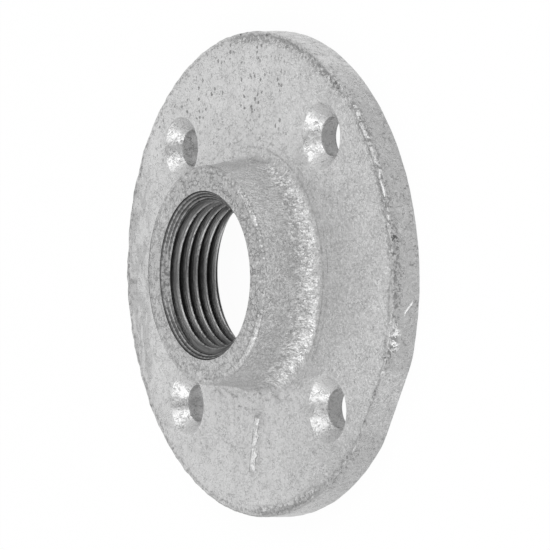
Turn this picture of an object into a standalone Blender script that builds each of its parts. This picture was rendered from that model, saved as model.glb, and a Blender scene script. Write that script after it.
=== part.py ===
"""Threaded floor flange for one inch pipe, cast in one piece in iron and dipped in zinc.

Metres, +Z up. The flange lies on its back face with the hub standing up. The origin is
the middle of the back face, and +Z is the axis of the pipe that screws into the hub.
"""

import math

import bmesh
import bpy
from mathutils import Matrix, Vector

# Plate
PLATE_RADIUS = 0.0500
PLATE_THICKNESS = 0.0065
RIM_DRAFT = math.radians(2.0)
RIM_FRONT_ROUND = 0.0005
RIM_FOOT_ROUND = 0.0006

# Tapered pipe thread, given by its pitch cone, without the teeth
THREAD_PITCH = 0.0254 / 11.5
THREAD_PITCH_RADIUS = 0.01573
THREAD_TAPER = 1.0 / 32.0
THREAD_DEPTH = 0.8 * THREAD_PITCH
MOUTH_FLARE = 0.0006
TAIL_FLARE = 0.0001

# Hub
HUB_HEIGHT = 0.0180
HUB_WALL = 0.0051
HUB_DRAFT = math.radians(6.0)
HUB_NOSE_ROUND = 0.0008
HUB_FILLET_RISE = 0.0046
HUB_FILLET_REACH = 0.0029
LEAST_WALL_SHARE = 0.2

# Dished back under the hub
DISH_DEPTH = 0.0043
DISH_REACH = 0.0085
DISH_LIP_REACH = 0.0005
DISH_LIP_ANGLE = math.radians(10.0)

# Countersunk screw holes
SCREW_HOLES = 4
FIRST_HOLE_ANGLE = math.radians(45.0)
HOLE_INSET = 0.0119
HOLE_RADIUS = 0.0043
COUNTERSINK_RADIUS = 0.0067
COUNTERSINK_ANGLE = math.radians(90.0)
COUNTERSINK_EDGE_ROUND = 0.0005

# Flat on the rim where the pouring gate was broken off and dressed
GATE_ANGLE = math.radians(-32.0)
GATE_DEPTH = 0.0012

# Zinc skin
ZINC_COLOUR = (0.60, 0.61, 0.62, 1.0)
ZINC_ROUGHNESS = 0.42
ZINC_METALLIC = 0.85

# Faceting of the round forms
TURN_STEPS = 96
HOLE_STEPS = 36
CORNER_STEPS = 4
FILLET_STEPS = 8
DISH_STEPS = 6
SHARP_ANGLE = math.radians(32.0)

# How far a cutting body stands clear of the face that it cuts
CUT_PAST = 0.002
CUT_LIFT = 0.00002

# Sizes that follow from those above
HUB_STANDS = HUB_HEIGHT - PLATE_THICKNESS
MOUTH_RADIUS = THREAD_PITCH_RADIUS + THREAD_DEPTH / 2 + MOUTH_FLARE
NOSE_RADIUS = MOUTH_RADIUS + HUB_WALL
HOLE_CIRCLE_RADIUS = PLATE_RADIUS - HOLE_INSET
GATE_DISTANCE = PLATE_RADIUS - GATE_DEPTH

DOWN = math.radians(-90.0)
OUT = 0.0
UP = math.radians(90.0)
IN = math.radians(180.0)


def clear_scene():
    for item in list(bpy.data.objects):
        bpy.data.objects.remove(item, do_unlink=True)


def arc(centre, reach, rise, start, end, steps):
    """Points of radius and height on an ellipse about centre, from one angle to another."""
    points = []
    for step in range(steps + 1):
        angle = start + (end - start) * step / steps
        points.append((centre[0] + reach * math.cos(angle), centre[1] + rise * math.sin(angle)))
    return points


def pitch_radius(height):
    """Radius of the thread's pitch cone at a height above the back face."""
    return THREAD_PITCH_RADIUS - (HUB_HEIGHT - height) * THREAD_TAPER


TAIL_RADIUS = pitch_radius(DISH_DEPTH) + THREAD_DEPTH / 2 + TAIL_FLARE


def hub_outline():
    """The end face's outer edge, the round nose, the drafted wall and the sweep to the plate."""
    rise = min(HUB_FILLET_RISE, (HUB_STANDS - HUB_NOSE_ROUND) * (1.0 - LEAST_WALL_SHARE))
    wall = HUB_STANDS - HUB_NOSE_ROUND - rise
    foot_radius = NOSE_RADIUS + wall * math.tan(HUB_DRAFT)
    nose_centre = (NOSE_RADIUS - HUB_NOSE_ROUND, HUB_HEIGHT - HUB_NOSE_ROUND)
    sweep_centre = (foot_radius + HUB_FILLET_REACH, PLATE_THICKNESS + rise)
    nose = arc(nose_centre, HUB_NOSE_ROUND, HUB_NOSE_ROUND, UP, OUT, CORNER_STEPS)
    sweep = arc(sweep_centre, HUB_FILLET_REACH, rise, IN, IN + UP, FILLET_STEPS)
    return nose + sweep


def rim_outline():
    """The plate's front corner, the drafted rim and the corner at its foot."""
    front_radius = PLATE_RADIUS - PLATE_THICKNESS * math.tan(RIM_DRAFT)
    front_centre = (front_radius - RIM_FRONT_ROUND, PLATE_THICKNESS - RIM_FRONT_ROUND)
    foot_centre = (PLATE_RADIUS - RIM_FOOT_ROUND, RIM_FOOT_ROUND)
    front = arc(front_centre, RIM_FRONT_ROUND, RIM_FRONT_ROUND, UP, OUT, CORNER_STEPS)
    foot = arc(foot_centre, RIM_FOOT_ROUND, RIM_FOOT_ROUND, OUT, DOWN, CORNER_STEPS)
    return front + foot


def dish_outline():
    """The round hollow under the hub, from its soft lip on the back face to the bore's tail."""
    lip = (TAIL_RADIUS + DISH_REACH + DISH_LIP_REACH, 0.0)
    hollow = arc((TAIL_RADIUS, 0.0), DISH_REACH, DISH_DEPTH, DISH_LIP_ANGLE, UP, DISH_STEPS)
    return [lip] + hollow


def bore_outline():
    """The tail's chamfer, the pitch cone of the thread and the mouth's chamfer."""
    cone_foot = DISH_DEPTH + TAIL_RADIUS - pitch_radius(DISH_DEPTH)
    cone_top = HUB_HEIGHT - (MOUTH_RADIUS - THREAD_PITCH_RADIUS)
    foot = (pitch_radius(cone_foot), cone_foot)
    top = (pitch_radius(cone_top), cone_top)
    return [foot, top, (MOUTH_RADIUS, HUB_HEIGHT)]


def turned(name, section, steps, closed):
    """A body turned about +Z from a section; an open section starts and ends on the axis."""
    mesh = bmesh.new()
    corners = [mesh.verts.new((radius, 0.0, height)) for radius, height in section]
    edges = [mesh.edges.new(pair) for pair in zip(corners, corners[1:])]
    if closed:
        edges.append(mesh.edges.new((corners[-1], corners[0])))
    bmesh.ops.spin(
        mesh,
        geom=corners + edges,
        cent=(0.0, 0.0, 0.0),
        axis=(0.0, 0.0, 1.0),
        angle=2.0 * math.pi,
        steps=steps,
        use_merge=True,
    )
    bmesh.ops.remove_doubles(mesh, verts=mesh.verts[:], dist=1e-6)
    bmesh.ops.recalc_face_normals(mesh, faces=mesh.faces[:])
    return as_object(name, mesh)


def as_object(name, mesh):
    data = bpy.data.meshes.new(name)
    mesh.to_mesh(data)
    mesh.free()
    data.shade_smooth()
    data.set_sharp_from_angle(angle=SHARP_ANGLE)
    body = bpy.data.objects.new(name, data)
    bpy.context.collection.objects.link(body)
    return body


def as_cutter(body):
    body.hide_render = True
    body.display_type = "WIRE"
    return body


def screw_hole_section():
    """Half of one hole's section, with the edge that the zinc leaves soft on the plate's face."""
    half_angle = COUNTERSINK_ANGLE / 2
    cone_foot = PLATE_THICKNESS - (COUNTERSINK_RADIUS - HOLE_RADIUS) / math.tan(half_angle)
    edge_reach = COUNTERSINK_EDGE_ROUND * math.tan((UP - half_angle) / 2)
    edge_centre = (
        COUNTERSINK_RADIUS + edge_reach,
        PLATE_THICKNESS - COUNTERSINK_EDGE_ROUND + CUT_LIFT,
    )
    edge = arc(
        edge_centre,
        COUNTERSINK_EDGE_ROUND,
        COUNTERSINK_EDGE_ROUND,
        UP,
        IN - half_angle,
        CORNER_STEPS,
    )
    above = PLATE_THICKNESS + CUT_PAST
    below = -CUT_PAST
    top = [(0.0, above), (edge_centre[0], above)]
    hole = [(HOLE_RADIUS, cone_foot), (HOLE_RADIUS, below), (0.0, below)]
    return top + edge + hole


def screw_hole_cutter(index):
    cutter = turned(f"screw_hole_{index + 1}", screw_hole_section(), HOLE_STEPS, closed=False)
    angle = FIRST_HOLE_ANGLE + index * 2.0 * math.pi / SCREW_HOLES
    cutter.location = Matrix.Rotation(angle, 3, "Z") @ Vector((HOLE_CIRCLE_RADIUS, 0.0, 0.0))
    return as_cutter(cutter)


def gate_cutter():
    """A block outside the rim whose inner face is the flat that the gate left."""
    depth = GATE_DEPTH + CUT_PAST
    size = Vector((depth, PLATE_RADIUS, PLATE_THICKNESS + 2 * CUT_PAST))
    centre = Vector((GATE_DISTANCE + depth / 2, 0.0, PLATE_THICKNESS / 2))
    mesh = bmesh.new()
    bmesh.ops.create_cube(mesh, size=1.0, matrix=Matrix.LocRotScale(centre, None, size))
    cutter = as_object("gate_flat", mesh)
    cutter.rotation_euler.z = GATE_ANGLE
    return as_cutter(cutter)


def cut(body, cutter):
    boolean = body.modifiers.new(cutter.name, "BOOLEAN")
    boolean.operation = "DIFFERENCE"
    boolean.solver = "EXACT"
    boolean.object = cutter


def zinc_skin():
    material = bpy.data.materials.new("zinc_skin")
    material.use_nodes = True
    shader = material.node_tree.nodes["Principled BSDF"]
    shader.inputs["Base Color"].default_value = ZINC_COLOUR
    shader.inputs["Roughness"].default_value = ZINC_ROUGHNESS
    shader.inputs["Metallic"].default_value = ZINC_METALLIC
    return material


def build_flange():
    section = hub_outline() + rim_outline() + dish_outline() + bore_outline()
    flange = turned("floor_flange", section, TURN_STEPS, closed=True)
    flange.data.materials.append(zinc_skin())
    for index in range(SCREW_HOLES):
        cut(flange, screw_hole_cutter(index))
    cut(flange, gate_cutter())


clear_scene()
build_flange()
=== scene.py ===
"""Galvanized floor flange for a one inch pipe, modelled round its packed solid.

Metres, +Z up. The flange lies on its back face with the hub standing up, and +Z is the
axis of the pipe. The piece is turned from its section, drilled, tapped and dressed.
"""

import math
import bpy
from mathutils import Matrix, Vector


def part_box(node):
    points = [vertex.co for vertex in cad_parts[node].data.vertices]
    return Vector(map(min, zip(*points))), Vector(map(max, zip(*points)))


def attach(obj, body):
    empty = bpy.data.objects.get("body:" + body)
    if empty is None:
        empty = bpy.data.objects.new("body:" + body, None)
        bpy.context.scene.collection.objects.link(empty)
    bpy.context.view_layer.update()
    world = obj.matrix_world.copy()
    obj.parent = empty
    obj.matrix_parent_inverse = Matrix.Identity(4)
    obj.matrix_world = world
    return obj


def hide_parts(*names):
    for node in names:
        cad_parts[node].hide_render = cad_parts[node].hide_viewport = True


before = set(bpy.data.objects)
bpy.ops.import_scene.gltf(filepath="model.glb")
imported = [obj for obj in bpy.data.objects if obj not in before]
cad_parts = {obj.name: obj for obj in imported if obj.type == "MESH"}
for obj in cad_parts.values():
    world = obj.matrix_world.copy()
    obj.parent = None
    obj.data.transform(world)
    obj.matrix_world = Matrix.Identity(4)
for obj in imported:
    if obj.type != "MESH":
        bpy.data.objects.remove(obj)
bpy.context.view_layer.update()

from types import SimpleNamespace

import bpy
from mathutils import Matrix, Vector, noise

bl_info = {
    "name": "Pipe flange",
    "version": (1, 0, 0),
    "blender": (4, 5, 0),
    "location": "View3D > Sidebar > Flange",
    "description": "Models a galvanized floor flange with a tapped hub, and sets its stage",
    "category": "Add Mesh",
}

NODE = "floor_flange"
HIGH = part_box(NODE)[1]
MM = 0.001
UP = math.radians(90.0)
IN = math.radians(180.0)
TURN = math.radians(360.0)
ORIGIN = (0.0, 0.0, 0.0)
PIPE_AXIS = (0.0, 0.0, 1.0)
WHITE = (1.0, 1.0, 1.0, 1.0)

# In millimetres: the ends of the raised bar and how far it leans for each one along it, the
# spacing of the chamfer's tool lines, and the depth for each one over a chamfer's 45 degrees
BAR_START = Vector((1.6, -29.4))
BAR_END = Vector((-0.8, -40.2))
BAR_LEAN = 0.222
TOOL_FEED = 0.52
CHAMFER_DEPTH = 0.7

# Lamps: name, direction from the flange, width, height and radiance
LAMP_DISTANCE = 1.3
LAMP_TARGET = Vector((0.0, 0.0, 0.009))
LAMPS = (
    ("lamp_above", (0.26, 0.645, 0.718), 1.06, 0.80, 1.72),
    ("lamp_below", (0.26, -0.645, 0.718), 1.06, 0.80, 1.72),
    ("lamp_over", (0.40, 0.0, 0.92), 0.7, 0.5, 0.2),
    ("lamp_front", (0.90, 0.0, 0.44), 1.4, 0.5, 1.2),
    ("lamp_back", (-0.834, 0.0, 0.552), 0.9, 0.8, 0.45),
)


def real(name, description, default, **kind):
    return bpy.props.FloatProperty(name=name, description=description, default=default, **kind)


def length(name, description, default):
    return real(name, description, default, precision=5, subtype="DISTANCE", unit="LENGTH")


def angle(name, description, degrees):
    return real(name, description, math.radians(degrees), subtype="ANGLE", unit="ROTATION")


def number(name, description, default):
    return real(name, description, default, precision=4)


def share(name, description, default):
    return real(name, description, default, min=0.0, max=1.0, subtype="FACTOR")


def count(name, description, default):
    return bpy.props.IntProperty(name=name, description=description, default=default, min=3)


def grey(name, description, tone):
    """A colour that starts as a grey."""
    return bpy.props.FloatVectorProperty(
        name=name, description=description, default=(tone,) * 3, min=0.0, max=1.0, subtype="COLOR"
    )


class FlangeSizes(bpy.types.PropertyGroup):
    """The casting's section, its screw holes and the flat on its rim"""

    plate_radius: length("Plate radius", "Radius of the round plate", HIGH.x)
    plate_thickness: length("Plate thickness", "Height of the plate's face above its back", 0.0065)
    rim_draft: angle("Rim draft", "Slope of the rim, wider at the back", 2.0)
    rim_front_round: length("Rim front round", "Rounding of the rim's front corner", 0.0005)
    rim_foot_round: length("Rim foot round", "Rounding of the rim's corner at the back", 0.0006)
    hub_height: length("Hub height", "Height of the hub's end face", HIGH.z)
    hub_wall: length("Hub wall", "Width of the hub's end face", 0.0051)
    hub_draft: angle("Hub draft", "Slope of the hub's side", 6.0)
    hub_nose_round: length("Hub nose round", "Rounding of the hub's outer edge", 0.0008)
    hub_fillet_rise: length("Sweep rise", "Height of the sweep at the hub's foot", 0.0046)
    hub_fillet_reach: length("Sweep reach", "Reach of the sweep over the plate", 0.0029)
    dish_depth: length("Dish depth", "Depth of the hollow under the hub", 0.0043)
    dish_reach: length("Dish reach", "Width of the hollow round the bore", 0.0085)
    dish_lip: length("Dish lip", "Width of the hollow's soft lip", 0.0005)
    hole_shift: length("Hole shift", "Shift of all holes along X", 0.00013)
    hole_across: length("Holes across", "Distance of the holes from their middle, along X", 0.02628)
    hole_along: length("Holes along", "Distance of the holes from the middle, along Y", 0.02710)
    hole_radius: length("Hole radius", "Radius of a screw hole", 0.0043)
    throat: length("Throat", "Zinc that narrows a hole below its countersink", 0.0004)
    left_lip: length("Lip on the left", "Zinc in the back end of the holes at -X", 0.00085)
    right_lip: length("Lip on the right", "Zinc in the back end of the holes at +X", 0.00020)
    sink_radius: length("Countersink radius", "Radius of a countersink at the plate's face", 0.0067)
    sink_edge: length("Countersink edge", "Rounding that the zinc leaves on its edge", 0.0005)
    gate_angle: angle("Gate", "Place of the dressed pouring gate round the rim", -32.0)
    gate_depth: length("Gate depth", "Depth of the flat that the gate left", 0.0012)
    turn_steps: count("Steps", "Faces round the casting", 448)
    fine: length("Fine spacing", "Length of a face on the front", 0.00046)
    coarse: length("Coarse spacing", "Length of a face on the back", 0.0022)


class FlangeThread(bpy.types.PropertyGroup):
    """The tapered pipe thread and the chamfers at its ends"""

    pitch: length("Pitch", "Distance from one thread to the next", 0.0254 / 11.5)
    pitch_radius: length("Pitch radius", "Radius of the pitch cone at the hub's end", 0.01573)
    taper: number("Taper", "Change of radius for each unit of depth", 1.0 / 32.0)
    half_depth: length("Half depth", "Depth of a thread beyond the pitch cone", 0.00088)
    crest_cut: length("Crest cut", "Height cut off the crests by the drill", 0.00012)
    mouth_radius: length("Mouth radius", "Radius of the chamfer at the mouth", 0.01721)
    tail_radius: length("Tail radius", "Radius of the chamfer at the tail", 0.01629)
    turns: count("Turns", "Turns that the tap cuts", 9)
    start: length("Start", "Height of the tap's first turn above the hub", 0.0034)
    steps: count("Steps", "Faces round one turn", 448)


class FlangeFinish(bpy.types.PropertyGroup):
    """Colours and wear of the zinc and the tapped iron, with painted light and shade"""

    zinc: grey("Zinc", "Colour of the clean zinc", 0.625)
    # this colour is also mixed in as painted shade, and held back where light is painted
    dull: grey("Dull zinc", "Colour of the zinc's darker grain", 0.42)
    pit: grey("Pit", "Colour at the bottom of a pit", 0.10)
    # painted highlight: glints, highlight lines and lit patches on the zinc take this colour
    bright: grey("Bright zinc", "Colour of thick, smooth zinc that shines", 0.88)
    # painted shade: this colour darkens the screw holes' walls for the shade inside them
    wall: grey("Hole wall", "Colour of the thin zinc inside the screw holes", 0.33)
    chamfer: grey("Chamfer", "Colour of the thin zinc on the mouth's chamfer", 0.38)
    flank: grey("Flank", "Colour of the thread's flanks", 0.26)
    # the crests are partly rubbed iron and partly a painted highlight
    crest: grey("Crest", "Colour of the thread's rubbed crests", 0.66)
    # painted shade: the flanks darken to this colour in the roots; it also draws dark scratches and
    # tool lines
    root: grey("Root", "Colour of the oily roots", 0.050)


class FlangeStage(bpy.types.PropertyGroup):
    """Floor, even light and camera"""

    floor: grey("Floor", "Colour of the floor", 0.86)
    floor_shows_white: share("White floor", "Share of white that the camera sees", 0.96)
    world: share("World", "Strength of the even light all round", 0.70)
    camera_elevation: angle("Camera elevation", "Height of the camera above the floor", 33.51)
    camera_roll: angle("Camera roll", "Turn of the camera about its own axis", 1.27)
    camera_distance: length("Camera distance", "Distance from the middle of the back face", 0.650)
    camera_left: length("Camera left", "Shift of the camera to its left", 0.000538)
    camera_down: length("Camera down", "Shift of the camera downwards", 0.000232)
    camera_lens: number("Lens", "Focal length in millimetres", 206.2)


def smooth(value, low, high):
    """From 0 at low to 1 at high, with soft ends."""
    t = min(max((value - low) / (high - low), 0.0), 1.0)
    return t * t * (3.0 - 2.0 * t)


def arc(centre, reach, rise, start, end, steps):
    """Points of radius and height on an ellipse about centre, from one angle to another."""
    points = []
    for step in range(steps + 1):
        turn = start + (end - start) * step / steps
        points.append((centre[0] + reach * math.cos(turn), centre[1] + rise * math.sin(turn)))
    return points


def run(start, end, spacing):
    """Points from start up to, and without, end."""
    steps = max(1, round(math.dist(start, end) / spacing))
    return [tuple(a + (b - a) * step / steps for a, b in zip(start, end)) for step in range(steps)]


def object_mode():
    if bpy.context.object is not None and bpy.context.object.mode != "OBJECT":
        bpy.ops.object.mode_set(mode="OBJECT")


def activate(piece):
    object_mode()
    bpy.ops.object.select_all(action="DESELECT")
    piece.select_set(True)
    bpy.context.view_layer.objects.active = piece


def edit_all():
    """Edit mode, with the whole mesh selected."""
    bpy.ops.object.mode_set(mode="EDIT")
    bpy.ops.mesh.select_all(action="SELECT")


def drawn(name, points, closed):
    """A line of edges through points of radius and height, extruded from one vertex."""
    object_mode()
    bpy.ops.object.select_all(action="DESELECT")
    bpy.ops.mesh.primitive_plane_add(size=MM)
    piece = bpy.context.object
    piece.name = name
    piece.data.name = name
    edit_all()
    bpy.ops.mesh.merge(type="CENTER")
    bpy.ops.transform.translate(value=(points[0][0], 0.0, points[0][1]))
    ends = points[1:] + points[:1] if closed else points[1:]
    for here, there in zip(points, ends):
        step = (there[0] - here[0], 0.0, there[1] - here[1])
        bpy.ops.mesh.extrude_vertices_move(TRANSFORM_OT_translate={"value": step})
    edit_all()
    bpy.ops.mesh.remove_doubles(threshold=MM * 1e-4)
    return piece


def close_up():
    """Merges what meets, turns all faces outwards and leaves edit mode."""
    edit_all()
    bpy.ops.mesh.remove_doubles(threshold=MM * 1e-3)
    bpy.ops.mesh.normals_make_consistent(inside=False)
    bpy.ops.object.mode_set(mode="OBJECT")


def turned(name, points, steps, closed):
    piece = drawn(name, points, closed)
    edit_all()
    bpy.ops.mesh.spin(steps=steps, angle=TURN, center=ORIGIN, axis=PIPE_AXIS)
    close_up()
    return piece


def bore_radius(sizes, thread, height):
    """Radius of the drilled bore at a height, which is where the thread's crests stand."""
    crest = thread.pitch_radius - thread.half_depth + thread.crest_cut
    return crest - (sizes.hub_height - height) * thread.taper


def hub_nose(sizes, thread):
    """Centre of the rounding between the hub's end face and its side."""
    rounding = sizes.hub_nose_round
    return (thread.mouth_radius + sizes.hub_wall - rounding, sizes.hub_height - rounding)


def hub_foot(sizes, thread, tight=0.0):
    """Centre, reach and rise of the sweep at the hub's foot, made smaller by tight."""
    nose = hub_nose(sizes, thread)
    rise, reach = sizes.hub_fillet_rise * (1.0 - tight), sizes.hub_fillet_reach * (1.0 - tight)
    height = sizes.plate_thickness + rise
    side = nose[0] + sizes.hub_nose_round + (nose[1] - height) * math.tan(sizes.hub_draft)
    return (side + reach, height), reach, rise


def casting_section(sizes, thread):
    """The casting's section: bore, chamfer, end face, hub, sweep, plate, rim, back and dish."""
    fine, coarse = sizes.fine, sizes.coarse
    top, face = sizes.hub_height, sizes.plate_thickness
    # the chamfers stand at 45 degrees, and meet the bore where its cone has their radius
    fall = (thread.mouth_radius - bore_radius(sizes, thread, top)) / (1.0 - thread.taper)
    bore_top = (thread.mouth_radius - fall, top - fall)
    tail = (thread.tail_radius, sizes.dish_depth)
    climb = (tail[0] - bore_radius(sizes, thread, tail[1])) / (1.0 + thread.taper)
    bore_foot = (tail[0] - climb, tail[1] + climb)
    nose_round = sizes.hub_nose_round
    nose_centre = hub_nose(sizes, thread)
    corner = sizes.rim_front_round
    front_radius = sizes.plate_radius - face * math.tan(sizes.rim_draft)
    corner_centre = (front_radius - corner, face - corner)
    foot = sizes.rim_foot_round
    foot_centre = (sizes.plate_radius - foot, foot)
    dish_edge = tail[0] + sizes.dish_reach
    nose = arc(nose_centre, nose_round, nose_round, UP, 0.0, 6)
    sweep = arc(*hub_foot(sizes, thread), IN, IN + UP, 14)
    front = arc(corner_centre, corner, corner, UP, 0.0, 5)
    back = arc(foot_centre, foot, foot, 0.0, -UP, 4)
    dish = arc((tail[0], 0.0), sizes.dish_reach, sizes.dish_depth, math.radians(10.0), UP, 9)
    lip = (dish_edge + sizes.dish_lip, 0.0)
    return (
        [bore_foot]
        + run(bore_top, (thread.mouth_radius, top), fine)
        + run((thread.mouth_radius, top), nose[0], fine)
        + nose[:-1]
        + run(nose[-1], sweep[0], fine)
        + sweep[:-1]
        + run(sweep[-1], front[0], fine)
        + front[:-1]
        + run(front[-1], back[0], fine)
        + back[:-1]
        + run(back[-1], lip, coarse)
        + [lip]
        + dish[:-1]
        + run(dish[-1], bore_foot, coarse / 3)
    )


def hole_section(sizes):
    """Half the section of a drill with a countersink and a soft edge at the plate's face."""
    face = sizes.plate_thickness + 0.02 * MM
    edge = sizes.sink_edge
    reach = edge * math.tan(UP / 4)
    centre = (sizes.sink_radius + reach, face - edge)
    cone_foot = (sizes.hole_radius, face - (sizes.sink_radius - sizes.hole_radius + sizes.throat))
    above, below = face + 2.0 * MM, -2.0 * MM
    soft = arc(centre, edge, edge, UP, UP + UP / 2, 5)
    return (
        [(0.0, above), (centre[0], above)]
        + soft[:-1]
        + run(soft[-1], cone_foot, 0.5 * MM)
        + run(cone_foot, (sizes.hole_radius, below), 0.65 * MM)
        + [(sizes.hole_radius, below), (0.0, below)]
    )


def screw_drills(sizes):
    """Four drills, the first one copied by half a turn and then both mirrored."""
    drill = turned("drills", hole_section(sizes), 80, closed=False)
    activate(drill)
    edit_all()
    bpy.ops.transform.translate(value=(sizes.hole_across, sizes.hole_along, 0.0))
    bpy.ops.mesh.spin(steps=1, dupli=True, angle=TURN / 2, center=ORIGIN, axis=PIPE_AXIS)
    bpy.ops.object.mode_set(mode="OBJECT")
    bpy.ops.object.modifier_add(type="MIRROR")
    bpy.ops.object.modifier_apply(modifier=drill.modifiers[-1].name)
    for vertex in drill.data.vertices:
        x, y, z = vertex.co
        lip = sizes.left_lip if x < 0.0 else sizes.right_lip
        axis = Vector((math.copysign(sizes.hole_across, x), math.copysign(sizes.hole_along, y)))
        deep = 1.0 - smooth(z, -1.0 * MM, 3.4 * MM)
        cone = (sizes.plate_thickness - z) / (sizes.sink_radius - sizes.hole_radius + sizes.throat)
        throat = sizes.throat * min(max(cone, 0.0), 1.0) * (1.0 - deep)
        narrowing = (lip * deep + throat) / sizes.hole_radius
        vertex.co.xy = axis + (vertex.co.xy - axis) * (1.0 - narrowing)
        vertex.co.x += sizes.hole_shift
    close_up()
    return drill


def tap(sizes, thread):
    """A coil with the section of one groove, swept down the bore by a Screw modifier."""
    slope = math.tan(math.radians(30.0))
    quarter = thread.pitch / 4

    def half_width(reach):
        return quarter - reach * slope

    crest = -thread.half_depth + thread.crest_cut
    deep = thread.half_depth
    profile = [
        (crest - 0.35 * MM, half_width(crest) + 0.08 * MM),
        (crest, half_width(crest) + 0.08 * MM),
        (crest + 0.04 * MM, half_width(crest + 0.04 * MM) + 0.03 * MM),
        (crest + 0.14 * MM, half_width(crest + 0.14 * MM) + 0.01 * MM),
        (deep - 0.10 * MM, half_width(deep - 0.10 * MM)),
        (deep - 0.02 * MM, half_width(deep) * 0.9),
    ]
    ring = profile + [(reach, -width) for reach, width in reversed(profile)]
    start = sizes.hub_height + thread.start - thread.turns * thread.pitch
    coil = drawn("tap", [(thread.pitch_radius + reach, start + rise) for reach, rise in ring], True)
    bpy.ops.object.mode_set(mode="OBJECT")
    bpy.ops.object.modifier_add(type="SCREW")
    screw = coil.modifiers[-1]
    screw.axis = "Z"
    screw.angle = TURN
    screw.screw_offset = thread.pitch
    screw.iterations = thread.turns
    screw.steps = thread.steps
    screw.render_steps = thread.steps
    screw.use_smooth_shade = True
    bpy.ops.object.modifier_apply(modifier=screw.name)
    for vertex in coil.data.vertices:
        radius = math.hypot(vertex.co.x, vertex.co.y)
        fall = (sizes.hub_height - vertex.co.z) * thread.taper
        vertex.co.xy *= (radius - fall) / radius
    edit_all()
    bpy.ops.mesh.fill_holes(sides=0)
    close_up()
    return coil


def cut(piece, cutter):
    activate(piece)
    bpy.ops.object.modifier_add(type="BOOLEAN")
    boolean = piece.modifiers[-1]
    boolean.operation = "DIFFERENCE"
    boolean.solver = "EXACT"
    boolean.material_mode = "TRANSFER"
    boolean.object = cutter
    bpy.ops.object.modifier_apply(modifier=boolean.name)
    bpy.data.objects.remove(cutter, do_unlink=True)


def wavy(place, size, seed):
    """Soft noise from -1 to 1 whose waves are about size across."""
    return noise.noise(place / size + Vector((seed, seed * 0.7, seed * 1.3)))


def on_line(spot, start, end, half_width, soft):
    """1 on a line across the plate's face from start to end, and 0 beyond its soft sides."""
    way = end - start
    along = min(max((spot - start).dot(way) / way.length_squared, 0.0), 1.0)
    return 1.0 - smooth((spot - start - way * along).length, half_width, half_width + soft)


def zone(value, low, high, soft):
    """1 from low to high, and 0 beyond the soft ends."""
    return smooth(value, low - soft, low + soft) * (1.0 - smooth(value, high - soft, high + soft))


def tighten_sweep(place, radius, azimuth, sizes, thread):
    """Moves a point of the sweep to where it is on the hub's tighter upper and lower sides."""
    centre, reach, rise = hub_foot(sizes, thread)
    over, up = (radius - centre[0]) / reach, (place.z - centre[1]) / rise
    if abs(math.hypot(over, up) - 1.0) < 0.02 and over < 0.01 and up < 0.01:
        tight = 0.55 * smooth(abs(azimuth + 2.0), 66.0, 80.0)
        centre, reach, rise = hub_foot(sizes, thread, tight)
        place.xy *= (centre[0] + reach * over) / radius
        place.z = centre[1] + rise * up


def skin_relief(place, radius, corner, rim):
    """Height of the cast skin's grain, lumps and runs, with all lengths in millimetres."""
    end = smooth(place.z, 17.0, 17.9)
    flat_back = 1.0 - smooth(place.z, 0.0, 0.3)
    fillet = zone(radius, 23.0, 25.9, 0.6) * zone(place.z, 6.3, 11.0, 0.9)
    left = smooth(-place.x, 38.0, 44.0)
    # the runs follow the sweep downwards, and the smears at the left lie along Y
    swept = Vector((place.x / radius, place.y / radius, (place.z - radius) * 0.009)) * 25.0
    long = Vector((place.x, place.y * 0.4, place.z))
    broad = 0.10 * wavy(place, 9.0, 3.0) * (1.0 - 0.8 * rim)
    lumps = wavy(place, 2.4, 11.0) * (0.045 + 0.09 * fillet + 0.08 * corner + 0.04 * rim)
    runs = wavy(swept, 1.5, 41.0) * 0.09 * fillet
    peel = wavy(place, 1.15, 23.0) * (0.030 + 0.05 * fillet + 0.07 * corner + 0.08 * end)
    smears = wavy(long, 2.2, 51.0) * 0.16 * left
    height = broad + lumps + runs + peel + smears - 0.01
    return height * (1.0 - 0.7 * end) * (1.0 - 0.8 * flat_back)


def mark_relief(place, radius, azimuth, corner, rim):
    """Height of this casting's own marks, and where the rim's scar escapes the gate's flat."""
    on_face = smooth(place.z, 6.2, 6.45) * smooth(radius, 40.0, 47.0)
    uneven = radius + 0.5 * wavy(place, 2.6, 71.0)
    groove = on_face * zone(uneven, 48.7, 48.9, 0.5)
    gritty = zone(azimuth, 46.0, 96.0, 4.0) + zone(azimuth, -92.0, -60.0, 4.0)
    grit = gritty * zone(radius, 47.4, 49.4, 0.5) * smooth(place.z, 5.4, 6.2)
    over_plate = place.z > 6.0 and radius > 28.0
    bar = on_line(place.xy, BAR_START, BAR_END, 0.75, 0.60) if over_plate else 0.0
    bulge = zone(azimuth, 80.0, 97.0, 5.0) * zone(place.z, 9.0, 11.4, 0.6)
    broken = zone(azimuth, -18.5, -10.0, 1.5)
    worn = max(broken, zone(azimuth, -57.0, -47.0, 2.0)) * corner
    scar = broken * zone(place.z, 2.6, 5.8, 0.6) * rim
    bitten = zone(azimuth, -3.0, 9.0, 1.5) * zone(place.z, 4.8, 6.2, 0.4) * rim
    bead = 0.3 + zone(azimuth, 10.0, 40.0, 3.0) + zone(azimuth, -42.0, -22.0, 2.0)
    bead *= zone(uneven, 49.3, 50.2, 0.2) * smooth(place.z, 5.5, 6.0)
    height = bulge * 1.2 - groove * 0.26
    # where a mark is, its lift, and the height, size and seed of its lumps
    for mark, lift, rough, size, seed in (
        (grit, -0.15, -0.35, 1.3, 61.0),
        (bar, 0.46, 0.40, 1.2, 7.0),
        (worn, -0.55, -0.50, 2.2, 5.0),
        (scar, 0.12, 0.55, 1.5, 17.0),
        (bitten, -0.12, -0.45, 1.4, 37.0),
        (bead, 0.08, 0.24, 1.6, 29.0),
    ):
        if mark > 0.0:
            height += mark * (lift + rough * wavy(place, size, seed))
    return height, scar


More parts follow.
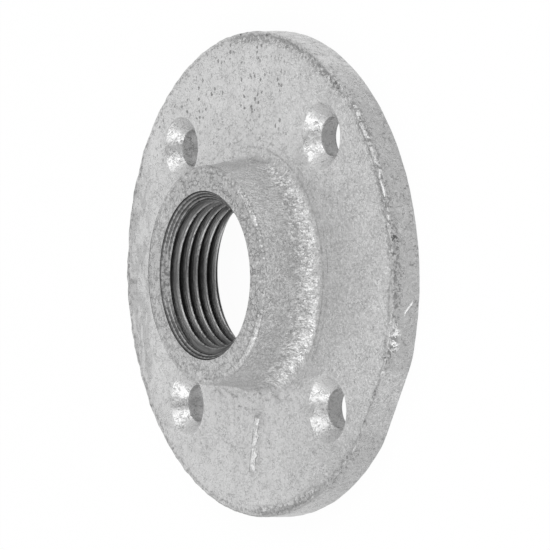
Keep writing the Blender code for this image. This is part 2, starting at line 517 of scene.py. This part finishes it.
def dress(piece, sizes, thread):
    """Moves the casting's points as sand, zinc and the grinder left the real one."""
    gate = Vector((math.cos(sizes.gate_angle), math.sin(sizes.gate_angle), 0.0))
    gate_distance = sizes.plate_radius - sizes.gate_depth
    bound = sizes.plate_radius - 0.01 * MM
    mesh = piece.data
    normals = [vertex.normal.copy() for vertex in mesh.vertices]
    for vertex, normal in zip(mesh.vertices, normals):
        place = vertex.co.copy()
        radius = math.hypot(place.x, place.y)
        azimuth = math.degrees(math.atan2(place.y, place.x))
        tighten_sweep(place, radius, azimuth, sizes, thread)
        spot, spot_radius = place / MM, radius / MM
        # the tapped bore and its chamfer keep their cut faces, down to the hollow under the hub
        cast = 1.0 if spot.z < 4.25 else smooth(spot_radius, 17.1, 17.6)
        if cast == 0.0:
            continue
        corner = smooth(spot_radius, 48.6, 49.3) * smooth(spot.z, 4.6, 5.6)
        rim = smooth(spot_radius, 48.5, 49.6)
        marks, scar = mark_relief(spot, spot_radius, azimuth, corner, rim)
        height = skin_relief(spot, spot_radius, corner, rim) * cast + marks
        place += normal * (height * MM)
        beyond = place.dot(gate) - gate_distance
        if beyond > 0.0:
            place -= gate * beyond * (1.0 - scar)
        place.x = min(max(place.x, -bound), bound)
        place.y = min(max(place.y, -bound), bound)
        place.z = min(max(place.z, 0.0), sizes.hub_height)
        vertex.co = place
    mesh.update()


def clean(piece):
    """Merges the slivers that the cuts leave, and closes what that opens."""
    activate(piece)
    edit_all()
    bpy.ops.mesh.remove_doubles(threshold=2e-3 * MM)
    bpy.ops.mesh.dissolve_degenerate(threshold=2e-3 * MM)
    bpy.ops.mesh.select_all(action="DESELECT")
    bpy.ops.mesh.select_mode(type="EDGE")
    bpy.ops.mesh.select_non_manifold(
        use_multi_face=False, use_non_contiguous=False, use_verts=False
    )
    bpy.ops.mesh.fill_holes(sides=0)
    bpy.ops.mesh.select_mode(type="VERT")
    close_up()


class Wire:
    """One output socket, so that shader maths reads as plain Python."""

    def __init__(self, shader, socket):
        self.shader = shader
        self.socket = socket

    def __add__(self, other):
        return self.shader.maths("ADD", self, other)

    def __radd__(self, other):
        return self.shader.maths("ADD", other, self)

    def __sub__(self, other):
        return self.shader.maths("SUBTRACT", self, other)

    def __rsub__(self, other):
        return self.shader.maths("SUBTRACT", other, self)

    def __mul__(self, other):
        return self.shader.maths("MULTIPLY", self, other)

    def __rmul__(self, other):
        return self.shader.maths("MULTIPLY", other, self)

    def __pow__(self, other):
        return self.shader.maths("POWER", self, other)

    def __abs__(self):
        return self.shader.maths("ABSOLUTE", self)


class Shader:
    """A material's or the world's node tree, written out node by node."""

    def __init__(self, owner):
        owner.use_nodes = True
        self.owner = owner
        self.tree = owner.node_tree
        self.tree.nodes.clear()

    def node(self, kind, settings=None, sockets=None, output=0):
        """Adds a node, sets what it is, then fills its sockets, and gives one output or a list."""
        made = self.tree.nodes.new(kind)
        for name, value in (settings or {}).items():
            setattr(made, name, value)
        for name, value in (sockets or {}).items():
            if isinstance(value, Wire):
                self.tree.links.new(value.socket, made.inputs[name])
            else:
                made.inputs[name].default_value = value
        if isinstance(output, tuple):
            return [Wire(self, made.outputs[name]) for name in output]
        return Wire(self, made.outputs[output]) if made.outputs else None

    def maths(self, operation, *values):
        return self.node("ShaderNodeMath", {"operation": operation}, dict(enumerate(values)))

    def vectors(self, operation, first, second):
        sockets = {0: first, 1: second}
        return self.node("ShaderNodeVectorMath", {"operation": operation}, sockets)

    def scaled(self, vector, factor):
        sockets = {0: vector, "Scale": factor}
        return self.node("ShaderNodeVectorMath", {"operation": "SCALE"}, sockets)

    def step(self, value, low, high, start=0.0, end=1.0):
        """From start to end while value goes from low to high, with soft ends."""
        settings = {"interpolation_type": "SMOOTHSTEP"}
        sockets = {0: value, 1: low, 2: high, 3: start, 4: end}
        return self.node("ShaderNodeMapRange", settings, sockets)

    def fall(self, value, low, high, start=1.0):
        """From start to 0 while value goes from low to high, with soft ends."""
        return self.step(value, low, high, start, 0.0)

    def zone(self, value, low, high, soft):
        """1 from low to high, and 0 beyond the soft ends."""
        rising = self.step(value, low - soft, low + soft)
        return rising * self.fall(value, high - soft, high + soft)

    def noise(self, place, size, detail=2.0, roughness=0.5, shift=0.0, distortion=0.0):
        """Noise from 0 to 1 in millimetres; shift moves it to another part of the pattern."""
        sockets = {
            "Vector": self.vectors("ADD", place, (shift,) * 3),
            "Scale": 1.0 / size,
            "Detail": detail,
            "Roughness": roughness,
            "Distortion": distortion,
        }
        return self.node("ShaderNodeTexNoise", None, sockets)

    def cells(self, place, size, feature="F1", output=0):
        """Scattered points: how far off one or a border is, or as a Color each point's chance."""
        sockets = {"Vector": place, "Scale": 1.0 / size}
        return self.node("ShaderNodeTexVoronoi", {"feature": feature}, sockets, output)

    def dots(self, place, size, reach, chance):
        """Ragged dots on a share of scattered points, reach in cells across."""
        chances = self.cells(place, size, output="Color")
        lot = self.node("ShaderNodeSeparateXYZ", None, {0: chances})
        chosen = self.fall(lot, chance - 0.02, chance + 0.02)
        return self.fall(self.cells(place, size), reach * 0.6, reach) * chosen

    def crackle(self, place, size, width):
        """1 on the borders between cells, and 0 inside them."""
        return self.fall(self.cells(place, size, "DISTANCE_TO_EDGE"), 0.0, width)

    def veins(self, place, size, width, shift):
        """1 on thin winding lines, and 0 between them."""
        field = self.noise(place, size, shift=shift, distortion=0.7)
        return self.fall(abs(field - 0.5), 0.0, width)

    def shaken(self, place, size, amount):
        """A place moved about by noise, which makes round things ragged."""
        sockets = {"Vector": place, "Scale": 1.0 / size, "Detail": 1.0}
        drift = self.node("ShaderNodeTexNoise", None, sockets, output="Color")
        centred = self.vectors("SUBTRACT", drift, (0.5, 0.5, 0.5))
        return self.vectors("ADD", place, self.scaled(centred, amount))

    def mix(self, share_of_second, first, second):
        """One colour mixed into another."""
        sockets = {0: share_of_second, 6: first, 7: second}
        return self.node("ShaderNodeMix", {"data_type": "RGBA"}, sockets, output=2)

    def coated(self, tone, colour, *shares):
        """A tone with a colour mixed into it, once for each share."""
        for share_of_colour in shares:
            tone = self.mix(share_of_colour, tone, rgba(colour))
        return tone

    def place(self):
        """Object coordinates in millimetres."""
        return self.scaled(self.node("ShaderNodeTexCoord", output="Object"), 1.0 / MM)

    def axes(self, place):
        """The three numbers of a place, and its distance from the pipe's axis."""
        x, y, z = self.node("ShaderNodeSeparateXYZ", None, {0: place}, output=(0, 1, 2))
        return x, y, z, (x * x + y * y) ** 0.5

    def joined(self, x, y, z):
        return self.node("ShaderNodeCombineXYZ", None, {0: x, 1: y, 2: z})

    def surface(self, tone, metallic, rough, height):
        """The finished skin, with its height in millimetres."""
        relief = {"Height": height, "Distance": MM, "Strength": 1.0}
        normal = self.node("ShaderNodeBump", None, relief)
        sockets = {"Base Color": tone, "Metallic": metallic, "Roughness": rough, "Normal": normal}
        skin = self.node("ShaderNodeBsdfPrincipled", None, sockets)
        self.node("ShaderNodeOutputMaterial", None, {"Surface": skin})
        return self.owner


def rgba(tone):
    return (*tone, 1.0)


def zinc_places(shader, sizes):
    """Where a point lies, in millimetres and degrees, and masks that are 1 in one place."""
    step, fall, zone = shader.step, shader.fall, shader.zone
    face, top = sizes.plate_thickness / MM, sizes.hub_height / MM
    outside = sizes.plate_radius / MM
    hole_radius, sink_radius = sizes.hole_radius / MM, sizes.sink_radius / MM
    place = shader.place()
    x, y, z, radius = shader.axes(place)
    azimuth = shader.maths("ARCTAN2", y, x) * math.degrees(1.0)
    hole_x = abs(x - sizes.hole_shift / MM) - sizes.hole_across / MM
    hole_y = abs(y) - sizes.hole_along / MM
    from_hole = (hole_x * hole_x + hole_y * hole_y) ** 0.5
    at = SimpleNamespace(place=place, x=x, y=y, z=z, radius=radius, azimuth=azimuth)

    # the casting's forms
    at.sink = fall(from_hole, sink_radius - 0.1, sink_radius + 0.7)
    at.sink = at.sink * fall(z, face - 0.15, face + 0.1)
    # a band across each countersink, which takes painted shade
    at.middle = at.sink * fall(abs(hole_y), 0.6, 2.2)
    at.wall = fall(from_hole, hole_radius - 0.2, hole_radius) * fall(z, 3.3, 3.75)
    at.end = step(z, top - 0.8, top - 0.3)
    at.nose = zone(radius, 21.4, 22.2, 0.2) * step(z, top - 1.2, top - 0.7)
    at.sweep = zone(radius, 23.0, 25.9, 0.5) * zone(z, face - 0.1, face + 4.5, 0.8)
    at.hub = step(z, face + 2.0, face + 4.0) * (1.0 - at.end)
    at.rim = step(radius, outside - 0.8, outside - 0.4)
    at.corner = step(radius, outside - 2.2, outside - 1.0) * step(z, face - 2.1, face - 0.9)
    at.on_top = step(z, face - 0.6, face - 0.3)

    # its sides and zones, for the grain and for the painted light and shade
    at.right = step(x, 2.0, 34.0) * (1.0 - at.rim)
    at.left = fall(x, -46.0, -37.0)
    at.upper = step(y, 18.0, 34.0) * fall(x, 10.0, 18.0)
    at.far_side = step(abs(azimuth), 140.0, 165.0)
    at.low_side = zone(azimuth, -68.0, -22.0, 8.0)
    at.rim_top = at.rim * step(azimuth, 38.0, 56.0)
    at.plateau = zone(azimuth, 72.0, 112.0, 8.0) * at.hub
    at.shoulder = zone(azimuth, 30.0, 72.0, 8.0) * at.hub
    at.under = zone(azimuth, -116.0, -76.0, 8.0) * at.hub
    at.steep = at.sweep * step(z + at.low_side * 0.8, 6.9, 7.7)
    at.worn_end = at.end * step(x, -14.0, -4.0) * step(y, -14.0, -6.0)

    # the raised bar with painted shade at its left, and the raised streak on the rim, painted as a
    # highlight
    across = x - BAR_START.x - (y - BAR_START.y) * BAR_LEAN
    across = across + (shader.noise(place, 1.6, shift=151.0) - 0.5) * 1.1
    on_bar = zone(y, BAR_END.y - 0.2, BAR_START.y + 0.2, 0.5) * at.on_top
    at.bar = fall(abs(across), 0.7, 1.1) * on_bar
    at.beside_bar = zone(across, -1.75, -1.35, 0.2) * on_bar
    aslant = (azimuth + 7.0) * 0.555 + (z - 1.7) * 0.771
    at.streak = fall(abs(aslant), 0.12, 0.30) * zone(z, 1.7, 3.5, 0.3) * at.rim
    return at


def zinc_patterns(shader, at):
    """Noises and fine lines of the skin, and the shares in which its grain shows."""
    step, place = shader.step, at.place
    skin = SimpleNamespace()
    skin.grain = shader.noise(place, 0.42, roughness=0.65)
    skin.mottle = shader.noise(place, 0.9, roughness=0.6, shift=45.0)
    skin.blots = shader.noise(place, 2.0, shift=21.0)
    skin.clouds = shader.noise(place, 9.0, shift=31.0)
    skin.lumps = shader.noise(place, 1.7, roughness=0.55, shift=77.0)
    around = shader.joined(at.azimuth * 0.44, at.radius * 0.45, at.z * 0.45)
    skin.strokes = shader.noise(around, 0.45, shift=63.0, distortion=0.6)
    drawn_out = shader.vectors("MULTIPLY", place, (1.0, 0.4, 1.0))
    skin.smears = shader.noise(drawn_out, 1.9, shift=83.0, distortion=0.8)
    skin.swirl = step(shader.noise(place, 1.5, shift=15.0, distortion=1.4), 0.30, 0.46)
    skin.rough_patch = step(shader.noise(place, 3.4, detail=1.0, shift=101.0), 0.44, 0.62)
    skin.cracks = shader.veins(place, 1.5, 0.022, 57.0) * step(skin.blots, 0.42, 0.58)
    skin.wrinkles = shader.veins(place, 2.4, 0.020, 119.0) * step(skin.mottle, 0.42, 0.52)
    skin.hairs = shader.veins(place, 0.8, 0.030, 91.0) * step(skin.mottle, 0.45, 0.60)
    skin.ragged = shader.shaken(place, 0.6, 0.7)
    skin.crackle = shader.crackle(skin.ragged, 1.5, 0.09) * step(skin.lumps, 0.42, 0.54)
    skin.calm = (1.0 - 0.75 * at.sink) * (1.0 - 0.8 * at.wall) * (1.0 - 0.85 * at.plateau)
    skin.calm = skin.calm * (1.0 - 0.5 * at.left) * (1.0 - 0.6 * at.rim_top)
    skin.calm = skin.calm * (1.0 - 0.7 * at.end * at.far_side)
    skin.grainy = skin.rough_patch * 0.30 + at.right * 0.78 + at.hub * 0.45
    skin.grainy = skin.grainy + at.sweep * 0.4 + at.end * 0.05 + 0.12
    return skin


def zinc_spots(shader, at, skin):
    """Pits and grit, 1 where the skin is darkest."""
    step, fall, zone = shader.step, shader.fall, shader.zone
    pitted = step(shader.noise(at.place, 5.0, detail=1.5, shift=13.0), 0.44, 0.56)
    pitted = pitted * (at.upper * 0.85 + at.corner * 0.6 + 0.20)
    pits = shader.dots(skin.ragged, 1.25, 0.34, 0.55) * pitted
    peppered = at.upper * 0.2 + skin.rough_patch * 0.35 + at.rim * 0.3 + 0.08
    small = shader.dots(skin.ragged, 0.75, 0.32, 0.30) * peppered
    gritty = zone(at.azimuth, 48.0, 96.0, 4.0) + zone(at.azimuth, -92.0, -62.0, 4.0)
    gritty = gritty * zone(at.radius, 47.5, 49.4, 0.5) * at.on_top
    bitten = zone(at.azimuth, -20.0, 9.0, 1.5) * zone(at.z, 4.6, 6.4, 0.4) * at.rim
    beside = zone(at.azimuth, 4.0, 52.0, 3.0) * step(at.radius, 47.6, 48.6)
    beside = beside * step(at.z, 4.6, 5.4)
    grit = gritty * fall(skin.mottle, 0.42, 0.55) * 0.8
    grit = grit + bitten * fall(skin.mottle, 0.42, 0.49) * 0.9
    grit = grit + beside * fall(skin.mottle, 0.38, 0.45) * 0.7
    return shader.maths("MAXIMUM", pits, shader.maths("MAXIMUM", small, grit))


def zinc_dullness_light_and_shade(shader, at, skin):
    """Share of the duller zinc, summed over the casting's places: grain, with painted light and
    shade.
    """
    step, fall, zone = shader.step, shader.fall, shader.zone
    dull = fall(skin.grain, 0.38, 0.56, 0.72) * skin.grainy
    dull += fall(skin.clouds, 0.3, 0.7, 0.16) + 0.08
    dull += fall(skin.mottle, 0.42, 0.56, 0.42) * (skin.grainy + 0.04)
    dull *= skin.calm

    # the end face
    clumps = step(skin.lumps, 0.40, 0.58) * 0.60 + step(skin.mottle, 0.40, 0.58) * 0.25 + 0.28
    dull += at.end * clumps * (1.0 - 0.6 * at.far_side)
    dull += at.end * at.far_side * (step(skin.smears, 0.42, 0.58) * 0.5 + 0.55)
    dull += at.worn_end * (step(skin.lumps, 0.46, 0.54) * 0.45 + 0.30)

    # the hub's side and its sweep, with painted light and shade
    ribs = fall(skin.strokes, 0.38, 0.56) * skin.calm
    dull += (at.hub * 0.45 + at.shoulder * 0.35 + at.sweep * 0.75) * ribs
    shade = zone(at.azimuth, -3.0, 16.0, 4.0) * zone(at.z, 9.2, 13.0, 1.2)
    # painted shade on the hub's top and bottom and in a patch at its front
    dull += at.plateau * 0.84 + at.under * 0.25 + shade * 0.45
    # painted light on the hub's shoulder, its side and the sweep
    dull -= at.shoulder * 0.62 + at.hub * 0.18 + at.sweep * 0.34

    # the rim, with painted light on its upper right, and the far left, with smears and painted
    # shade
    patches = step(skin.smears, 0.44, 0.56) * 0.45 + step(skin.blots, 0.47, 0.53) * 0.45
    dull += at.rim * (fall(skin.blots, 0.40, 0.60, 0.35) + 0.50) + at.rim_top * (patches - 0.85)
    dull += at.left * (fall(skin.smears, 0.42, 0.58, 1.20) + 0.30)

    # the plate's face: painted shade at top and bottom, most at lower right; painted light at the
    # right
    dull += step(at.y, 8.0, 24.0) * (1.0 - at.hub) * 0.07
    dull += fall(at.y, -38.0, -16.0, 0.15) * (at.right * 2.2 + 1.0) - at.right * 0.12

    # the countersinks: a band of painted shade through each, and a painted highlight on the lower
    # left one
    dull += at.middle * (fall(skin.mottle, 0.44, 0.54, 0.9) + 0.35)
    lower_left_highlight = fall(abs(at.azimuth + 135.0), 30.0, 50.0, 0.55)
    return dull + (at.sink - at.middle) * (0.10 - lower_left_highlight)


def zinc_painted_highlights(shader, at, skin):
    """Share of painted highlight: sparkle, the sweep's band, the nose's line, knobs, the rim's
    streak and the bar's lumps.
    """
    step, zone, azimuth = shader.step, shader.zone, at.azimuth
    sparkle = step(shader.noise(at.place, 0.62, detail=1.5, shift=140.0), 0.54, 0.66)
    shown = at.end * 0.25 + at.hub * 0.20 + at.right * 0.22 + at.rim * 0.15 + at.bar * 0.4
    glints = sparkle * shown * skin.calm
    shining = step(skin.strokes, 0.52, 0.62) * step(skin.lumps, 0.36, 0.52)
    glints += (at.steep * (at.low_side * 0.5 + 1.1) + at.shoulder * 0.25) * shining
    beads = at.low_side * step(skin.lumps, 0.46, 0.58) * 0.3
    glints += at.steep * (step(skin.mottle, 0.53, 0.61) * 0.5 + beads)
    lit = zone(azimuth, -62.0, -22.0, 5.0) * 0.4 + zone(azimuth, 26.0, 50.0, 4.0) * 0.6
    lit += zone(azimuth, 50.0, 68.0, 4.0) * 0.2
    glints += at.nose * lit * step(skin.mottle, 0.42, 0.54)
    knobs = zone(azimuth, -18.0, -13.4, 1.0) * zone(at.z, 3.9, 6.2, 0.4) * at.rim
    glints += knobs * step(skin.mottle, 0.46, 0.52) * 0.9
    return glints + at.streak + at.bar * (step(skin.mottle, 0.42, 0.56) * 0.8 + 0.1)


def zinc_lines(shader, at, skin):
    """Dark lines and spots: a crease, a smudge, and painted shade beside the bar, on the nose's far
    edge and in a dent.
    """
    step, zone = shader.step, shader.zone
    dent_shade = zone(at.azimuth, -73.0, -69.0, 1.6) * zone(at.radius, 25.6, 27.6, 0.6)
    crease = zone(at.radius, 20.9, 21.2, 0.22) * at.end * step(skin.blots, 0.44, 0.54)
    nose_edge_shade = zone(at.radius, 21.45, 22.4, 0.12) * step(at.z, 16.4, 16.8) * at.far_side
    smudge = zone(at.x, -48.6, -45.4, 0.7) * zone(at.y, -1.4, -0.2, 0.5)
    smudge = smudge * at.on_top * skin.mottle
    return dent_shade * 0.28 + at.beside_bar * 0.45 + crease * 0.4 + nose_edge_shade * 0.9 + smudge * 0.9


def zinc_material(finish, sizes):
    """Hot-dip zinc over the as-cast skin, with its grain, pits, crackle and smooth runs, and
    painted light and shade.
    """
    shader = Shader(bpy.data.materials.new("zinc_skin"))
    step, fall, zone = shader.step, shader.fall, shader.zone
    at = zinc_places(shader, sizes)
    skin = zinc_patterns(shader, at)
    spots = zinc_spots(shader, at, skin)
    tone = shader.mix(zinc_dullness_light_and_shade(shader, at, skin), rgba(finish.zinc), rgba(finish.dull))
    # painted highlights: the glints, and bright swirls on the countersinks beside their shaded band
    swirls = at.sink * (1.0 - at.middle) * skin.swirl * 0.15
    tone = shader.coated(tone, finish.bright, zinc_painted_highlights(shader, at, skin), swirls)
    # painted shade: two thin dark lines on the plate just beyond the sweep's foot
    foot = zone(at.radius, 26.0, 26.3, 0.25) + zone(at.radius, 27.6, 27.8, 0.16)
    uneven = at.radius + (skin.blots - 0.5) * 2.4
    groove = zone(uneven, 48.6, 49.1, 0.3) * at.on_top * step(at.radius, 47.0, 48.0)
    tone = shader.coated(
        tone,
        finish.pit,
        skin.cracks * (at.rim * 0.25 + at.end * 0.35 + at.sweep * 0.2 + 0.12),
        skin.hairs * (at.end * 0.12 + at.sweep * 0.25 + at.hub * 0.25 + 0.12) * skin.calm,
        skin.wrinkles * (at.rim * 0.45 + at.corner * 0.2 + at.sink * 0.50),
        skin.crackle * (at.end * 0.30 + at.worn_end * 0.3 + at.corner * 0.2),
        at.worn_end * fall(skin.grain, 0.40, 0.50, 0.22),
        foot * step(skin.blots, 0.40, 0.55) * 0.42,
        spots * 0.68 + zinc_lines(shader, at, skin),
        groove * (skin.mottle * 0.5 + 0.20) * step(skin.mottle, 0.40, 0.54),
    )
    # painted highlight: a broken bright line on the rim's front corner
    ridge = zone(at.azimuth, 8.0, 42.0, 3.0) + zone(at.azimuth, -42.0, -22.0, 2.0)
    ridge = ridge * zone(uneven, 49.45, 49.80, 0.12) * step(at.z, 5.6, 5.85)
    tone = shader.coated(tone, finish.bright, ridge * step(skin.mottle, 0.45, 0.52) * 0.65)
    # painted shade inside the screw holes, deeper in the holes on the right
    tone = shader.coated(tone, finish.wall, at.wall * step(at.x, -5.0, 5.0, 0.58, 0.88))
    height = skin.grain * (skin.grainy * 0.10 + 0.02) + skin.hairs * -0.05
    height += skin.lumps * (
        at.sweep * 0.15 + at.end * 0.40 + at.hub * 0.10 + at.corner * 0.2 + 0.05
    )
    height += skin.strokes * (
        at.hub * 0.10 + at.shoulder * 0.15 + at.steep * 0.36 + at.sweep * 0.06
    )
    height *= skin.calm
    height += spots * -0.14 + skin.cracks * -0.06 + skin.crackle * at.end * -0.08
    height += skin.swirl * at.sink * 0.06 + at.streak * 0.2 + at.bar * (skin.mottle * 0.5 + 0.20)
    height += skin.smears * (at.left * 0.3 + at.rim_top * 0.2)
    rough = step(skin.grain, 0.3, 0.7, 0.36, 0.22) + at.sink * 0.01
    metallic = at.sink * (1.0 - at.wall) * (1.0 - at.middle) * 0.04 + 0.5
    return shader.surface(tone, metallic, rough, height)


def steel_material(finish, sizes, thread):
    """Tapped iron: painted shade in the roots, dull flanks, crests rubbed and with a painted
    highlight, a chamfer with tool lines.
    """
    shader = Shader(bpy.data.materials.new("tapped_iron"))
    step, fall = shader.step, shader.fall
    place = shader.place()
    x, y, z, radius = shader.axes(place)
    mouth, tail = thread.mouth_radius / MM, thread.tail_radius / MM
    crest_at_top = bore_radius(sizes, thread, sizes.hub_height) / MM
    below = sizes.hub_height / MM - z
    over_tail = z - sizes.dish_depth / MM

    # depth under the drilled cone and under the chamfers, which stand at 45 degrees
    from_bore = radius - crest_at_top + below * thread.taper
    from_mouth = (radius - mouth + below) * CHAMFER_DEPTH
    from_tail = (radius - tail + over_tail) * CHAMFER_DEPTH
    depth = shader.maths("MINIMUM", from_bore, shader.maths("MINIMUM", from_mouth, from_tail))
    chamfered = fall(from_mouth, 0.03, 0.09)
    deep = step(depth, 0.0, 1.6)
    crest = fall(depth, 0.05, 0.24)

    opposite = shader.maths("ARCTAN2", y * -1.0, x * -1.0) * 3.0
    along = shader.joined(opposite, radius * 3.0, z * 3.0)
    scratches = shader.noise(along, 1.0, roughness=0.6)
    grime = shader.noise(place, 0.7, detail=3.0, roughness=0.6)
    fine = shader.noise(place, 0.3, shift=9.0)
    lines = shader.maths("SINE", radius * (math.tau / TOOL_FEED))
    aside = step(abs(y), 1.0, 9.0)

    # painted shade: darker with depth, down to the roots
    tone = shader.mix(deep, rgba(finish.flank), rgba(finish.root))
    tone = shader.coated(tone, finish.root, fall(scratches, 0.42, 0.62, 0.50))
    # crests lighter where rubbed, with a painted highlight that is stronger away from y = 0
    rubbed_and_highlit = crest * (aside * 0.55 + 0.15) * step(grime, 0.34, 0.56)
    tone = shader.coated(tone, finish.crest, rubbed_and_highlit)
    lined = shader.coated(
        rgba(finish.chamfer),
        finish.root,
        fall(lines, -0.6, 0.8, 0.75) * (aside * 0.8 + 0.12),
        fall(grime, 0.40, 0.58, 0.60),
    )
    tone = shader.mix(chamfered, tone, lined)
    tone = shader.coated(tone, finish.root, step(radius, mouth - 0.30, mouth - 0.10) * 0.85)
    height = fine * 0.03 + grime * 0.05 + scratches * 0.05
    height += lines * chamfered * (aside * 0.05 + 0.01)
    return shader.surface(tone, 0.95, step(grime, 0.3, 0.7, 0.32, 0.48), height)


class FLANGE_OT_casting(bpy.types.Operator):
    """Turn, drill, tap and dress the flange, and give it its zinc"""

    bl_idname = "flange.casting"
    bl_label = "Flange casting"

    def execute(self, context):
        sizes = context.scene.flange_sizes
        thread = context.scene.flange_thread
        finish = context.scene.flange_finish
        zinc = zinc_material(finish, sizes)
        steel = steel_material(finish, sizes, thread)
        section = casting_section(sizes, thread)
        piece = turned("flange_casting", section, sizes.turn_steps, closed=True)
        piece.data.materials.append(zinc)
        piece.data.materials.append(steel)
        chamfer_foot = sizes.dish_depth + 0.1 * MM
        for face in piece.data.polygons:
            radius = math.hypot(face.center.x, face.center.y)
            inside = radius < thread.mouth_radius and face.center.z > chamfer_foot
            face.material_index = 1 if inside else 0
        drills = screw_drills(sizes)
        drills.data.materials.append(zinc)
        cut(piece, drills)
        coil = tap(sizes, thread)
        coil.data.materials.append(steel)
        cut(piece, coil)
        clean(piece)
        dress(piece, sizes, thread)
        activate(piece)
        bpy.ops.object.shade_smooth_by_angle(angle=math.radians(38.0))
        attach(piece, "root")
        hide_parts(NODE)
        return {"FINISHED"}


def lamp(name, direction, width, height, radiance):
    """A soft lamp that shines on the flange from a direction and is not seen itself."""
    away = Vector(direction).normalized()
    place, turn = LAMP_TARGET + away * LAMP_DISTANCE, away.to_track_quat("Z", "Y").to_euler()
    bpy.ops.object.light_add(type="AREA", location=place, rotation=turn)
    light = bpy.context.object
    light.name = name
    light.data.shape = "RECTANGLE"
    light.data.size = width
    light.data.size_y = height
    light.data.energy = radiance * math.pi * width * height
    light.visible_camera = False


def floor_material(stage):
    """A pale floor that camera and mirror rays see as white, and that keeps a soft shadow."""
    shader = Shader(bpy.data.materials.new("pale_floor"))
    rays = ("Is Camera Ray", "Is Glossy Ray", "Is Transmission Ray")
    seen, glossy, through = shader.node("ShaderNodeLightPath", output=rays)
    direct = shader.maths("MAXIMUM", seen, shader.maths("MAXIMUM", glossy, through))
    plain = shader.node("ShaderNodeBsdfDiffuse", None, {"Color": rgba(stage.floor)})
    white = shader.node("ShaderNodeEmission", None, {"Color": WHITE, "Strength": 1.0})
    sockets = {0: direct * stage.floor_shows_white, 1: plain, 2: white}
    mixed = shader.node("ShaderNodeMixShader", None, sockets)
    shader.node("ShaderNodeOutputMaterial", None, {"Surface": mixed})
    return shader.owner


def light_world(stage):
    """An even light all round that the camera sees as plain white."""
    world = bpy.data.worlds.new("studio")
    bpy.context.scene.world = world
    shader = Shader(world)
    seen = shader.node("ShaderNodeLightPath", output="Is Camera Ray")
    even, white = (
        shader.node("ShaderNodeBackground", None, {"Color": WHITE, "Strength": strength})
        for strength in (stage.world, 1.0)
    )
    mixed = shader.node("ShaderNodeMixShader", None, {0: seen, 1: even, 2: white})
    shader.node("ShaderNodeOutputWorld", None, {"Surface": mixed})


def set_camera(stage):
    """The camera looks down on the flange from +X, with +Y at the top of its picture."""
    rise, roll = stage.camera_elevation, stage.camera_roll
    back = Vector((math.cos(rise), 0.0, math.sin(rise)))
    level_up = Vector((0.0, 1.0, 0.0))
    level_right = level_up.cross(back)
    right = level_right * math.cos(roll) - level_up * math.sin(roll)
    above = level_up * math.cos(roll) + level_right * math.sin(roll)
    turn = Matrix((right, above, back)).transposed().to_euler()
    place = back * stage.camera_distance - right * stage.camera_left - above * stage.camera_down
    bpy.ops.object.camera_add(location=place, rotation=turn)
    camera = bpy.context.object
    camera.name = "camera"
    camera.data.sensor_fit = "HORIZONTAL"
    camera.data.sensor_width = 36.0
    camera.data.lens = stage.camera_lens
    camera.data.clip_start = 0.01
    camera.data.clip_end = 20.0
    bpy.context.scene.camera = camera


class FLANGE_OT_stage(bpy.types.Operator):
    """Lay the floor, hang the lights and place the camera"""

    bl_idname = "flange.stage"
    bl_label = "Stage"

    def execute(self, context):
        stage = context.scene.flange_stage
        object_mode()
        bpy.ops.object.select_all(action="DESELECT")
        bpy.ops.mesh.primitive_plane_add(size=6.0, location=(0.0, 0.0, -0.02 * MM))
        floor = bpy.context.object
        floor.name = "floor"
        floor.data.materials.append(floor_material(stage))
        light_world(stage)
        for settings in LAMPS:
            lamp(*settings)
        set_camera(stage)
        context.scene.view_settings.view_transform = "Standard"
        return {"FINISHED"}


class FLANGE_PT_panel(bpy.types.Panel):
    """Buttons and settings of the flange"""

    bl_idname = "FLANGE_PT_panel"
    bl_label = "Pipe flange"
    bl_space_type = "VIEW_3D"
    bl_region_type = "UI"
    bl_category = "Flange"

    def draw(self, context):
        for name, group in SETTINGS.items():
            box = self.layout.box()
            box.label(text=group.__doc__)
            for field in group.__annotations__:
                box.prop(getattr(context.scene, name), field)
        for operator in OPERATORS:
            self.layout.operator(operator.bl_idname)


SETTINGS = {
    "flange_sizes": FlangeSizes,
    "flange_thread": FlangeThread,
    "flange_finish": FlangeFinish,
    "flange_stage": FlangeStage,
}
OPERATORS = (FLANGE_OT_casting, FLANGE_OT_stage)


def register():
    for group in (*SETTINGS.values(), *OPERATORS, FLANGE_PT_panel):
        bpy.utils.register_class(group)
    for name, group in SETTINGS.items():
        setattr(bpy.types.Scene, name, bpy.props.PointerProperty(type=group))


def unregister():
    for name in SETTINGS:
        delattr(bpy.types.Scene, name)
    for group in (FLANGE_PT_panel, *reversed(OPERATORS), *SETTINGS.values()):
        bpy.utils.unregister_class(group)


def main():
    register()
    bpy.ops.flange.casting()
    bpy.ops.flange.stage()


if __name__ == "__main__":
    main()
